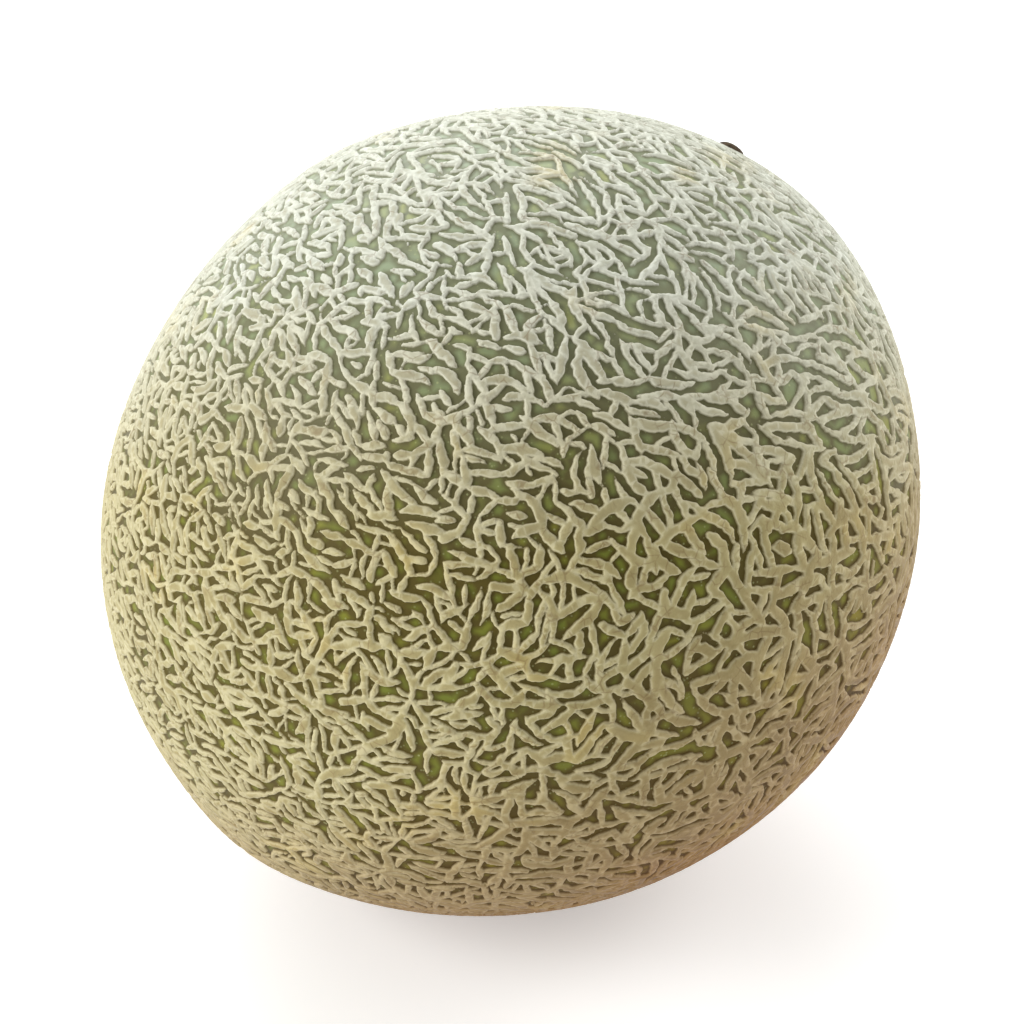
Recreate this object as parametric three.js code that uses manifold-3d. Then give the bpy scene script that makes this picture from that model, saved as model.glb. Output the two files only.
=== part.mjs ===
// A whole netted cantaloupe melon, lying on the small flat spot that it rests on.
//
// It grew as one piece, so it is one solid: an almost round body, a little longer one way, with a raised corky
// net over its skin, a small dry button where the flower was and the round scar where the stem slipped off.
//
// Millimetres. +Z is up, and the origin is the middle of the resting spot. -Y is the side that faces the viewer,
// and the flower end looks up and away to the right.

import * as THREE from "three";
import { ConvexHull } from "three/addons/math/ConvexHull.js";
import { mergeVertices } from "three/addons/utils/BufferGeometryUtils.js";
import Module from "manifold-3d";

// Sizes of the whole melon, over the net
const LENGTH = 159;
const WIDTH = 147;
const NET_HEIGHT = 0.9; // from the skin to the top of the net
const SPOT_DEPTH = 1.4; // what the flat resting spot takes off the round skin

// Directions from the middle of the melon: [turn from +X towards +Y, rise above level], in degrees
const LONG_AXIS = [28, 34];
const FLOWER_END = [46, 42];
const STEM_END = [207, -51];

// The melon isn't an even egg: it swells and flattens here and there, by these heights over these reaches
const SWELLS = [
  { at: [8, 11], reach: 16, height: -0.9 },
  { at: [31, 36], reach: 13, height: 0.8 },
  { at: [83, 55], reach: 16, height: -0.6 },
  { at: [132, 47], reach: 12, height: 1.0 },
  { at: [164, 22], reach: 14, height: -0.4 },
  { at: [216, -40], reach: 12, height: 1.4 },
  { at: [263, -55], reach: 20, height: -1.0 },
  { at: [336, -30], reach: 20, height: 0.7 },
];

// The net: meshes longer across the melon than from end to end
const MESH_ALONG = 12.9; // from one ring of meshes to the next
const MESH_ACROSS = 18.1; // from one mesh to the next in its ring
const MESH_SCATTER = 0.24; // share of those steps that a mesh may be out of place
const CORD_HALF_TOP = 1.0; // of a cord's flat top
const CORD_SLOPE = 0.8; // how far a cord's side leans out, from its top to its foot
const GRAIN_LENGTH = [5.5, 8.5]; // the spindle-shaped grain of cork that lies in each mesh, shortest and longest
const GRAIN_WIDTH = [1.8, 2.6];
const GRAIN_HEIGHT = 0.75;
const GRAIN_TURN = 0.6; // how far a grain turns from lying across the melon, in radians
const GRAIN_MARGIN = 0.5; // of bare skin left at its tips

// The two ends
const BUTTON_RADIUS = 2.7; // the flower end's dry button
const BUTTON_HEIGHT = 1.7;
const SCAR_RADIUS = 9; // the stem end's round scar
const SCAR_LIP = 0.7; // height of the corky lip round it
const SCAR_DEPTH = 1.3; // of its dished middle
const SCAR_BOSS = 0.5; // depth at the stub of the stem's core
const END_SIDES = 12;
const FIRST_RING = { flower: 12, stem: 24 }; // from each end to its first ring of meshes

const SEED = 20077;

// A direction given as [turn, rise]
function direction([turn, rise]) {
  const t = THREE.MathUtils.degToRad(turn);
  const r = THREE.MathUtils.degToRad(rise);
  return new THREE.Vector3(Math.cos(r) * Math.cos(t), Math.cos(r) * Math.sin(t), Math.sin(r));
}

// Park and Miller's random numbers from 0 to 1, the same on every machine
function randomFrom(seed) {
  let state = seed;
  return () => {
    state = (state * 48271) % 2147483647;
    return state / 2147483647;
  };
}

const DOWN = new THREE.Vector3(0, 0, -1);
const longAxis = direction(LONG_AXIS);
const flowerEnd = direction(FLOWER_END);
const stemEnd = direction(STEM_END);
const swells = SWELLS.map(({ at, reach, height }) => ({
  way: direction(at),
  reach: THREE.MathUtils.degToRad(reach),
  height,
}));

// From the middle of the melon to its skin, one way
function skinRadius(way) {
  const long = LENGTH / 2 - NET_HEIGHT;
  const across = WIDTH / 2 - NET_HEIGHT;
  const along = way.dot(longAxis) ** 2;
  const egg = 1 / Math.sqrt(along / long ** 2 + (1 - along) / across ** 2);
  return swells.reduce((r, s) => r + s.height * Math.exp(-((way.angleTo(s.way) / s.reach) ** 2)), egg);
}

const middle = new THREE.Vector3(0, 0, skinRadius(DOWN) - SPOT_DEPTH);
const meanRadius = (LENGTH + WIDTH) / 4;

// The point at a height over the skin
function overSkin(way, height) {
  return way.clone().multiplyScalar(skinRadius(way) + height).add(middle);
}

// The stem-to-flower line bends a little, so both ends sit where they are and the rings between follow the bend
const ENDS_APART = flowerEnd.clone().sub(stemEnd).length();
const core = flowerEnd.clone().sub(stemEnd).divideScalar(ENDS_APART);
const bend = flowerEnd.clone().add(stemEnd).divideScalar(ENDS_APART);
const sideways = new THREE.Vector3(0, 0, 1).cross(core).normalize();
const crossways = core.clone().cross(sideways);

// A direction by its angle from the flower end and its turn about the core, in radians
function onMelon(down, turn) {
  return core
    .clone()
    .multiplyScalar(Math.cos(down))
    .addScaledVector(sideways, Math.sin(down) * Math.cos(turn))
    .addScaledVector(crossways, Math.sin(down) * Math.sin(turn))
    .addScaledVector(bend, Math.cos(down) ** 2)
    .normalize();
}

// Two directions in the surface at a point: across the melon, and from end to end
function surfaceAxes(way) {
  const localCore = core.clone().addScaledVector(bend, core.dot(way));
  const across = localCore.cross(way).normalize();
  return [across, way.clone().cross(across)];
}

// A direction moved over the surface by millimetres, along two of its axes
function moved(way, [u, v], du, dv) {
  return way
    .clone()
    .addScaledVector(u, du / meanRadius)
    .addScaledVector(v, dv / meanRadius)
    .normalize();
}

// The middle of every mesh of the net, in rings from the flower end to the stem end, each end a mesh of its own
function meshMiddles(random) {
  const found = [flowerEnd, stemEnd];
  const first = FIRST_RING.flower / meanRadius;
  const last = Math.PI - FIRST_RING.stem / meanRadius;
  const rings = Math.round(((last - first) * meanRadius) / MESH_ALONG);
  const step = (last - first) / rings;
  for (let ring = 0; ring <= rings; ring++) {
    const down = first + ring * step;
    const count = Math.max(5, Math.round((2 * Math.PI * Math.sin(down) * meanRadius) / MESH_ACROSS));
    const start = random() * 2 * Math.PI;
    const edge = ring === 0 || ring === rings ? 0.3 : 1; // the rings beside the two ends keep their place
    for (let i = 0; i < count; i++) {
      const slip = (random() * 2 - 1) * MESH_SCATTER * edge;
      const drift = (random() * 2 - 1) * MESH_SCATTER * edge;
      found.push(onMelon(down + drift * step, start + ((i + slip) * 2 * Math.PI) / count));
    }
  }
  return found;
}

// The meshes as polygons: each is the ring of corners, anticlockwise from outside, where it meets its neighbours
function meshPolygons(middles) {
  const hull = new ConvexHull().setFromPoints(middles);
  const rings = new Map(middles.map((m) => [m, []]));
  const corners = hull.faces.map((face) => {
    const corner = { way: face.normal.clone().normalize(), around: [] };
    for (let edge = face.edge, n = 0; n < 3; edge = edge.next, n++) {
      corner.around.push(edge.head().point);
      rings.get(edge.head().point).push(corner);
    }
    return corner;
  });
  for (const [middleWay, ring] of rings) {
    const [u, v] = surfaceAxes(middleWay);
    const turnOf = (corner) => Math.atan2(corner.way.dot(v), corner.way.dot(u));
    ring.sort((a, b) => turnOf(a) - turnOf(b));
  }
  return { rings, corners };
}

const positions = []; // of the melon's triangles, three points each

function triangle(a, b, c) {
  for (const p of [a, b, c]) positions.push(p.x, p.y, p.z);
}

function quad(a, b, c, d) {
  triangle(a, b, c);
  triangle(a, c, d);
}

// A strip of quads between two rings of equally many points, the first outside the second
function band(outer, inner) {
  outer.forEach((p, i) => {
    const next = (i + 1) % outer.length;
    quad(p, outer[next], inner[next], inner[i]);
  });
}

// Fills the floor between a mesh's foot and the rings of points that stand in it
function fillFloor(middleWay, foot, islands) {
  const [u, v] = surfaceAxes(middleWay);
  const flat = (p) => {
    const way = p.clone().sub(middle);
    return new THREE.Vector2(way.dot(u), way.dot(v));
  };
  const points = [foot, ...islands].flat();
  const faces = THREE.ShapeUtils.triangulateShape(
    foot.map(flat),
    islands.map((ring) => ring.map(flat)),
  );
  for (const [a, b, c] of faces) {
    const [p, q, r] = [a, b, c].map((i) => flat(points[i]));
    const anticlockwise = q.clone().sub(p).cross(r.clone().sub(p)) > 0;
    if (anticlockwise) triangle(points[a], points[b], points[c]);
    else triangle(points[a], points[c], points[b]);
  }
}

// A round end: rings of [radius, height over the skin] from the outside in, closed at the middle
function roundEnd(way, profile) {
  const [u, v] = surfaceAxes(way);
  const ring = ([radius, height]) =>
    Array.from({ length: END_SIDES }, (_, i) => {
      const turn = (i * 2 * Math.PI) / END_SIDES;
      return overSkin(moved(way, [u, v], radius * Math.cos(turn), radius * Math.sin(turn)), height);
    });
  const rings = profile.slice(0, -1).map(ring);
  rings.slice(1).forEach((inner, i) => band(rings[i], inner));
  const top = overSkin(way, profile.at(-1)[1]);
  const last = rings.at(-1);
  last.forEach((p, i) => triangle(p, last[(i + 1) % END_SIDES], top));
  return rings[0];
}

// The button that the flower left: a little drum with a sunk top
const buttonProfile = [
  [BUTTON_RADIUS + CORD_SLOPE, 0],
  [BUTTON_RADIUS, BUTTON_HEIGHT * 0.85],
  [BUTTON_RADIUS * 0.6, BUTTON_HEIGHT],
  [0, BUTTON_HEIGHT * 0.7],
];

// The scar that the stem left: a corky lip round a shallow dish, with the stub of the core in its middle
const scarProfile = [
  [SCAR_RADIUS, 0],
  [SCAR_RADIUS - CORD_SLOPE, SCAR_LIP],
  [SCAR_RADIUS - 2 * CORD_SLOPE, SCAR_LIP],
  [SCAR_RADIUS * 0.6, -SCAR_DEPTH],
  [SCAR_RADIUS * 0.25, -SCAR_DEPTH],
  [0, -SCAR_BOSS],
];

// A grain of cork: pointed at both ends, with a short ridge along its top, and no longer than its room
function grain(middleWay, room, random) {
  const pick = ([least, most]) => least + random() * (most - least);
  const halfLength = Math.min(pick(GRAIN_LENGTH) / 2, room);
  const halfWidth = Math.min(pick(GRAIN_WIDTH) / 2, halfLength / 2);
  const turn = (random() * 2 - 1) * GRAIN_TURN;
  const axes = surfaceAxes(middleWay);
  const at = (x, y, height) => {
    const [du, dv] = [x * Math.cos(turn) - y * Math.sin(turn), x * Math.sin(turn) + y * Math.cos(turn)];
    return overSkin(moved(middleWay, axes, du, dv), height);
  };
  const [left, right] = [at(-halfLength, 0, 0), at(halfLength, 0, 0)];
  const [near, far] = [at(0, -halfWidth, 0), at(0, halfWidth, 0)];
  const ridge = [at(-halfLength / 3, 0, GRAIN_HEIGHT), at(halfLength / 3, 0, GRAIN_HEIGHT)];
  triangle(left, near, ridge[0]);
  triangle(ridge[0], near, ridge[1]);
  triangle(near, right, ridge[1]);
  triangle(right, far, ridge[1]);
  triangle(ridge[1], far, ridge[0]);
  triangle(far, left, ridge[0]);
  return [left, near, right, far];
}

// How far it is from a point to the nearest side of a ring of points
function roomInside(point, ring) {
  const nearest = new THREE.Vector3();
  const sides = ring.map((p, i) => new THREE.Line3(p, ring[(i + 1) % ring.length]));
  return Math.min(...sides.map((s) => s.closestPointToPoint(point, true, nearest).distanceTo(point)));
}

// Raises the net over the whole skin, as one closed surface
function raiseNet(random) {
  const middles = meshMiddles(random);
  const { rings, corners } = meshPolygons(middles);
  const crowns = new Map(); // by mesh and corner: the point on the cord's top nearest the mesh
  for (const [middleWay, ring] of rings) {
    const centre = ring.reduce((sum, c) => sum.add(c.way), new THREE.Vector3()).normalize();
    const inset = (corner, by) => {
      const away = centre.clone().sub(corner.way);
      const share = Math.min(0.8, by / (away.length() * meanRadius));
      return corner.way.clone().addScaledVector(away, share).normalize();
    };
    const crown = ring.map((c) => overSkin(inset(c, CORD_HALF_TOP * 1.15), NET_HEIGHT));
    const foot = ring.map((c) => overSkin(inset(c, (CORD_HALF_TOP + CORD_SLOPE) * 1.15), 0));
    crowns.set(middleWay, new Map(ring.map((c, i) => [c, crown[i]])));
    band(crown, foot);
    const standing =
      middleWay === flowerEnd
        ? roundEnd(middleWay, buttonProfile)
        : middleWay === stemEnd
          ? roundEnd(middleWay, scarProfile)
          : grain(centre, roomInside(overSkin(centre, 0), foot) - GRAIN_MARGIN, random);
    fillFloor(middleWay, foot, [standing]);
  }
  // The cords' tops: a triangle where three meshes meet, and a strip between two neighbours
  for (const corner of corners) {
    const [a, b, c] = corner.around.map((m) => crowns.get(m).get(corner));
    triangle(a, b, c);
  }
  for (const [middleWay, ring] of rings) {
    ring.forEach((corner, i) => {
      const next = ring[(i + 1) % ring.length];
      const across = corner.around.find((m) => m !== middleWay && next.around.includes(m));
      if (middles.indexOf(middleWay) > middles.indexOf(across)) return;
      const [mine, theirs] = [crowns.get(middleWay), crowns.get(across)];
      quad(theirs.get(corner), theirs.get(next), mine.get(next), mine.get(corner));
    });
  }
}

const wasm = await Module();
wasm.setup();

function solidOf(geometry) {
  geometry.deleteAttribute("normal");
  geometry.deleteAttribute("uv");
  const merged = mergeVertices(geometry, 1e-4);
  return new wasm.Manifold(
    new wasm.Mesh({
      numProp: 3,
      vertProperties: merged.attributes.position.array,
      triVerts: new Uint32Array(merged.index.array),
    }),
  );
}

// The melon flattens a little where it lies: everything under the surface is cut away
function restOnSurface(solid) {
  const under = new THREE.BoxGeometry(LENGTH, LENGTH, LENGTH).translate(0, 0, -LENGTH / 2);
  return solid.subtract(solidOf(under));
}

function geometryOf(solid) {
  const { vertProperties, triVerts } = solid.getMesh();
  const geometry = new THREE.BufferGeometry();
  geometry.setAttribute("position", new THREE.BufferAttribute(vertProperties, 3));
  geometry.setIndex(new THREE.BufferAttribute(triVerts, 1));
  geometry.computeVertexNormals();
  return geometry;
}

raiseNet(randomFrom(SEED));
const rough = new THREE.BufferGeometry();
rough.setAttribute("position", new THREE.Float32BufferAttribute(positions, 3));

const rind = new THREE.MeshStandardMaterial({ color: 0xb9b28c, roughness: 0.62, metalness: 0 });
const melon = new THREE.Mesh(geometryOf(restOnSurface(solidOf(rough))), rind);
melon.name = "melon";

const cantaloupe = new THREE.Group();
cantaloupe.add(melon);

export default cantaloupe;
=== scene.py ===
# %% [markdown]
# # A netted cantaloupe melon
#
# A cantaloupe's skin stops growing before its flesh does. The skin cracks all over, and each crack heals
# with a raised cord of cork. The cords meet, and in the end they cover the fruit with a net.
#
# The melon is dressed here in four kinds of piece: the green skin, the cork net on it, the button where the
# flower sat and the scar where the stem let go. Lengths in the lesson are in millimetres until a mesh is
# finished.

import math

import bmesh
import bpy
import numpy as np
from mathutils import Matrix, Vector


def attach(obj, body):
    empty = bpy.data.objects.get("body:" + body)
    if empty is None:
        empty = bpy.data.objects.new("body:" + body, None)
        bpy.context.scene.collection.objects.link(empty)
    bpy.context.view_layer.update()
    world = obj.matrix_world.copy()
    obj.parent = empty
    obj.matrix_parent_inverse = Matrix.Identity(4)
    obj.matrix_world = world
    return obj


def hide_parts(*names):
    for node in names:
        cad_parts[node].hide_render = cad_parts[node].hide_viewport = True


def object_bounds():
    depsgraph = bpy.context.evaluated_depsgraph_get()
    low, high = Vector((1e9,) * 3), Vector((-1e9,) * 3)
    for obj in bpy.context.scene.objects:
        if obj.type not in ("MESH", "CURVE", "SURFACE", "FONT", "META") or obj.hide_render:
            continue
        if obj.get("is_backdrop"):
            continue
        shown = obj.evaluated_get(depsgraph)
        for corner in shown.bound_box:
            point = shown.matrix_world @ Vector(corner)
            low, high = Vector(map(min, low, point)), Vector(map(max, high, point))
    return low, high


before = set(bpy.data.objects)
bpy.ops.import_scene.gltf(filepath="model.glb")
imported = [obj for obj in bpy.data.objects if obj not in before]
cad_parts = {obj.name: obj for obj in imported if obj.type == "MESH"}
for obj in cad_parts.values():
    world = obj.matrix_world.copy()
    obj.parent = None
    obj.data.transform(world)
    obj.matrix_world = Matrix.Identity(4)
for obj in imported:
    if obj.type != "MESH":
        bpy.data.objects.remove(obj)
cad_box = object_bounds()
print("packed melon:", [tuple(round(v, 4) for v in corner) for corner in cad_box])

# %% [markdown]
# ## The body's shape
#
# A melon could be sculpted by hand, but a formula keeps every piece on the same surface. The body is an
# egg, a little longer one way, with a few broad swells and flats. Each piece asks this formula how far the
# skin is from the melon's middle, so the net can't float and the skin can't poke through it.

# %% Directions and sizes
MM = 0.001
LENGTH, WIDTH = 159, 147
NET_HEIGHT = 0.9
SPOT_DEPTH = 1.4  # how far the melon is pressed flat where it lies


def direction(turn, rise):
    """A direction from its turn from +X towards +Y and its rise above level, in degrees."""
    t, r = math.radians(turn), math.radians(rise)
    return np.array([math.cos(r) * math.cos(t), math.cos(r) * math.sin(t), math.sin(r)])


def unit(vectors):
    """The same directions, each with a length of 1."""
    return vectors / np.linalg.norm(vectors, axis=-1, keepdims=True)


def angle_from(ways, end):
    """Degrees between each direction and one other."""
    return np.degrees(np.arccos(np.clip(ways @ end, -1, 1)))


LONG_AXIS = direction(28, 34)
FLOWER_END = direction(46, 42)
STEM_END = direction(207, -51)
DOWN = np.array([0.0, 0.0, -1.0])
SWELLS = [  # turn, rise, reach, height
    (8, 11, 16, -0.9),
    (31, 36, 13, 0.8),
    (83, 55, 16, -0.6),
    (132, 47, 12, 1.0),
    (164, 22, 14, -0.4),
    (216, -40, 12, 1.4),
    (263, -55, 20, -1.0),
    (336, -30, 20, 0.7),
]


def skin_radius(ways):
    """From the melon's middle to its skin, along each direction."""
    along = (ways @ LONG_AXIS) ** 2
    radius = 1 / np.sqrt(along / (LENGTH / 2 - NET_HEIGHT) ** 2 + (1 - along) / (WIDTH / 2 - NET_HEIGHT) ** 2)
    for turn, rise, reach, height in SWELLS:
        radius = radius + height * np.exp(-((angle_from(ways, direction(turn, rise)) / reach) ** 2))
    return radius


MIDDLE = np.array([0, 0, skin_radius(DOWN) - SPOT_DEPTH])
print("middle of the melon is", round(float(MIDDLE[2]), 2), "mm up")

# %% [markdown]
# The stem's scar is a shallow dish in the skin. Where the melon lies it is pressed flat: the net's cords
# touch the surface, and the skin between them stays a little above it.

# %% Skin and net heights to places
SCAR_RADIUS = 9
SCAR_DEPTH = 1.3
PRESSED_GAP = 0.35  # between the surface that the melon lies on and the skin
BALL = 75.0  # radius of the round ball on which the net is laid out


def smooth_step(x, low, high):
    """0 up to low, 1 from high on, and a soft S between."""
    t = np.clip((x - low) / (high - low), 0, 1)
    return t * t * (3 - 2 * t)


def place_over_skin(ways, height):
    """Points in metres that lie a height over the skin, along each direction."""
    from_scar = angle_from(ways, STEM_END) * math.radians(1) * BALL
    dish = SCAR_DEPTH * (1 - smooth_step(from_scar, 0.35 * SCAR_RADIUS, 0.92 * SCAR_RADIUS))
    points = MIDDLE + ways * (skin_radius(ways) + height - dish)[:, None]
    lowest = PRESSED_GAP * (1 - np.clip(height, -0.3, NET_HEIGHT) / NET_HEIGHT)
    points[:, 2] = np.maximum(points[:, 2], lowest)
    return points * MM


# %% [markdown]
# ## Where the cords run
#
# The net has two sizes of mesh. The main cords split the melon into meshes about as wide as a thumb. They
# are found as the solid model finds them: a seeded set of mesh middles lies in rings from the flower end to
# the stem end, and a cord runs wherever two meshes meet. A convex hull of the middles gives the neighbours,
# and the normal of each of its triangles points at a corner where three meshes meet.

# %% The melon's own lines of growth
ENDS_APART = np.linalg.norm(FLOWER_END - STEM_END)
CORE = (FLOWER_END - STEM_END) / ENDS_APART
BEND = (FLOWER_END + STEM_END) / ENDS_APART
SIDEWAYS = unit(np.cross([0, 0, 1], CORE))
CROSSWAYS = np.cross(CORE, SIDEWAYS)


def on_melon(down, turn):
    """A direction by its angle from the flower end and its turn about the core."""
    ring = SIDEWAYS * math.cos(turn) + CROSSWAYS * math.sin(turn)
    return unit(CORE * math.cos(down) + ring * math.sin(down) + BEND * math.cos(down) ** 2)


def surface_axes(ways):
    """Across the melon, and from end to end, at each direction."""
    local_core = CORE + (ways @ CORE)[..., None] * BEND
    across = unit(np.cross(local_core, ways))
    return across, np.cross(ways, across)


# %% Middles of the meshes
MESH_ALONG, MESH_ACROSS, MESH_SCATTER = 12.9, 18.1, 0.24
FIRST_RING = {"flower": 12, "stem": 24}  # how far from each end the first meshes lie
SEED = 20077


def mesh_middles():
    """The middle of each mesh, as a direction, ring by ring and each a little out of place."""
    state = SEED
    mean_radius = (LENGTH + WIDTH) / 4

    def random():
        nonlocal state
        state = state * 48271 % 2147483647
        return state / 2147483647

    found = [FLOWER_END, STEM_END]
    first = FIRST_RING["flower"] / mean_radius
    last = math.pi - FIRST_RING["stem"] / mean_radius
    rings = math.floor((last - first) * mean_radius / MESH_ALONG + 0.5)
    step = (last - first) / rings
    for ring in range(rings + 1):
        down = first + ring * step
        count = max(5, math.floor(2 * math.pi * math.sin(down) * mean_radius / MESH_ACROSS + 0.5))
        start = random() * 2 * math.pi
        edge = 0.3 if ring in (0, rings) else 1
        for i in range(count):
            slip = (random() * 2 - 1) * MESH_SCATTER * edge
            drift = (random() * 2 - 1) * MESH_SCATTER * edge
            found.append(on_melon(down + drift * step, start + (i + slip) * 2 * math.pi / count))
    return found


# %% Borders of the meshes
def mesh_borders(middles):
    """Pairs of corners, each pair the two ends of a border between two meshes."""
    hull = bmesh.new()
    for way in middles:
        hull.verts.new(way)
    bmesh.ops.convex_hull(hull, input=hull.verts)
    borders = [[np.array(face.normal) for face in edge.link_faces] for edge in hull.edges]
    hull.free()
    return [unit(np.array(pair)) for pair in borders if len(pair) == 2]


borders = mesh_borders(mesh_middles())
print(len(borders), "borders between meshes")

# %% [markdown]
# Between the main cords lie thousands of short ones, each a crack that healed on its own. They are grown
# here one by one: a place with room is found, and a spindle creeps both ways from it until it meets another
# cord or runs out. Most lie across the melon, and meet each other at sharp angles, which leaves lens-shaped
# openings. In a few places they turn and run from end to end. The last and smallest ones are mostly bridges
# that cross an opening and close it. On the old side the cords are broad and nearly all join, so the skin
# shows only as small round holes.

# %% Slow changes over the surface
class Ripples:
    """Smooth random waves over the melon, about -1 to 1, of a typical length."""

    def __init__(self, size, seed, count=10):
        random = np.random.default_rng(seed)
        steepness = 2 * math.pi * BALL / size * random.uniform(0.6, 1.4, (count, 1))
        self.waves = unit(random.normal(size=(count, 3))) * steepness
        self.phases = random.uniform(0, 2 * math.pi, count)

    def __call__(self, ways):
        return np.sin(ways @ self.waves.T + self.phases).sum(-1) / math.sqrt(len(self.phases))


OLD_SIDE = direction(-42, -10)
DENSE_PLACE = direction(-26, -32)
TURNED_PLACES = [direction(-80, 14), direction(95, -10), direction(150, 30)]


def oldness(ways):
    """0 where the cords are narrow and loose, 1 where they have spread and joined."""
    return np.exp(-((angle_from(ways, OLD_SIDE) / 50) ** 2))


def coarseness(ways):
    """The net is a little coarser on the half with the flower end, and very fine and dense in one place."""
    flower_half = 0.15 * smooth_step(-angle_from(ways, FLOWER_END), -115, -80)
    return 1 + flower_half - 0.36 * np.exp(-((angle_from(ways, DENSE_PLACE) / 29) ** 4))


def evenness(ways):
    """1 round the flower end, where thin cords of one width close every mesh, 0 where they are spindles."""
    return smooth_step(-angle_from(ways, FLOWER_END), -78, -50)


def turned(ways):
    """1 in the places where the cords run from end to end, 0 elsewhere."""
    return sum(np.exp(-((angle_from(ways, place) / 21) ** 4)) for place in TURNED_PLACES)


# %% [markdown]
# A cord has to know what is near it, and so does each point of the surface later on. To ask every other
# point would take hours. So the points are filed in cubes, and only the cubes round a point are searched.

# %% Which points are near which others
SHELF = 2.8  # points are filed in cubes this wide, and nothing further off than that counts


def shelf_of(points):
    """One whole number for the cube, a shelf wide, that each point lies in."""
    cell = np.floor(points / SHELF).astype(np.int64) + 512
    return (cell[:, 0] * 1024 + cell[:, 1]) * 1024 + cell[:, 2]


def near_pairs(points, others):
    """All pairs of a point and another one within a shelf's length or more, in 27 batches."""
    shelf = shelf_of(points)
    order = np.argsort(shelf, kind="stable")
    shelf = shelf[order]
    for offset in np.ndindex(3, 3, 3):
        wanted = shelf_of(others + SHELF * (np.array(offset) - 1))
        low = np.searchsorted(shelf, wanted, "left")
        count = np.searchsorted(shelf, wanted, "right") - low
        other = np.repeat(np.arange(len(others)), count)
        rank = np.arange(len(other)) - np.repeat(np.cumsum(count) - count - low, count)
        yield order[rank], other


# %% A net that knows what is near
STEP = 0.55  # from one point of a cord to the next
BIN = 4.6


class Net:
    """The cords so far, as points on a ball with a half width at each, filed by place."""

    def __init__(self):
        self.cords = []
        self.points = np.zeros((300000, 3))
        self.halves = np.zeros(300000)
        self.count = 0
        self.bins = {}

    def add(self, points, halves, tint):
        self.cords.append((np.array(points), np.array(halves), tint))
        for point, half in zip(points, halves):
            self.points[self.count] = point
            self.halves[self.count] = half
            self.bins.setdefault(tuple(np.floor(point / BIN).astype(int)), []).append(self.count)
            self.count += 1

    def near(self, point):
        i, j, k = np.floor(point / BIN).astype(int)
        found = []
        for a in (i - 1, i, i + 1):
            for b in (j - 1, j, j + 1):
                for c in (k - 1, k, k + 1):
                    found += self.bins.get((a, b, c), [])
        return self.points[found], self.halves[found]

    def rooms(self, points):
        """How far each of many points is from the edge of the nearest cord."""
        room = np.full(len(points), SHELF)
        for point, spot in near_pairs(points, self.points[: self.count]):
            gap = np.sqrt(((points[point] - self.points[spot]) ** 2).sum(1)) - self.halves[spot]
            np.minimum.at(room, point, gap)
        return room


def room_at(point, spots, halves):
    """The same for one point, when the spots near it are at hand."""
    if not len(spots):
        return SHELF
    return float((np.sqrt(((spots - point) ** 2).sum(1)) - halves).min())


# %% [markdown]
# A main cord isn't one smooth bow but a chain of short stout lengths, each healed on its own, that bend
# where they meet. Some lengths are missing, and some are wider than the ones beside them.

# %% Main cords
MAIN_HALF = 0.74  # half a main cord's width
MAIN_PART = 3.3  # length of one straight part
KINK = 1.2
OVERLAP = 0.4
TAPER = 2.2  # the higher, the later a cord narrows towards its tips
THINNER = 0.25  # cords round the flower end are thinner by this share
THINNEST, THICKEST = 0.3, 1.25

random = np.random.default_rng(7)
net = Net()
main_width = Ripples(11, 13)
for start, end in borders:
    length = np.linalg.norm(end - start) * BALL
    parts = max(1, round(length / MAIN_PART))
    side = unit(np.cross(start, end))
    shares = np.linspace(0, 1, parts + 1)
    kinks = random.normal(size=parts + 1) * KINK * np.sin(math.pi * shares) ** 0.5
    knots = unit(start + (end - start) * shares[:, None] + side * kinks[:, None] / BALL)
    missing = 0.25 + 0.4 * smooth_step(-angle_from(start, FLOWER_END), -95, -55)
    for a, b in zip(knots[:-1], knots[1:]):
        if random.uniform() < missing:
            continue
        over = OVERLAP / BALL * unit(b - a)
        a, b = a - over, b + over
        count = max(4, round(np.linalg.norm(b - a) * BALL / STEP))
        s = np.linspace(-1, 1, count)
        ways = unit(a + (b - a) * (s[:, None] + 1) / 2)
        stout = MAIN_HALF * (1 + 0.5 * oldness(ways)) * (1 + 0.22 * main_width(ways))
        stout = stout * random.uniform(0.65, 1.3) * (1 - THINNER * evenness(ways))
        halves = stout * (1 - 0.5 * np.abs(s) ** TAPER)
        net.add(ways * BALL, np.clip(halves, THINNEST, THICKEST), random.uniform())
print(len(net.cords), "lengths of main cord")

# %% [markdown]
# A short cord creeps in small steps, bends a little at each, and stops when it touches another cord or, if it
# is a shy one, when it comes near.

# %% How a short cord creeps
TOUCHING = 0.1
UNEASE = 0.1  # how much a cord's way wavers, in radians a step


def creep(point, way, curl, steps, joins, shy, spots, halves):
    """The points that a cord passes one way, and whether it ran into another cord."""
    line = []
    for wiggle in random.normal(size=steps) * UNEASE:
        way = way + np.cross(point / BALL, way) * (curl + wiggle)
        point = point + way * (STEP / math.sqrt(way @ way))
        point = point * (BALL / math.sqrt(point @ point))
        way = way - point * ((way @ point) / BALL**2)
        line.append(point)
        room = room_at(point, spots, halves)
        if joins and room < TOUCHING:
            return line, True
        if not joins and room < shy:
            return line, False
    return line, False


# %% [markdown]
# The cords come in rounds. In each one, places are tried all over the melon, and a cord starts where the
# room is enough. The first rounds ask for much room, so their cords are long and stout. The last ones ask
# for little, and fill what is left with short thin ones. That is why the net has cords of every size, as a
# grown one does.

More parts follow.
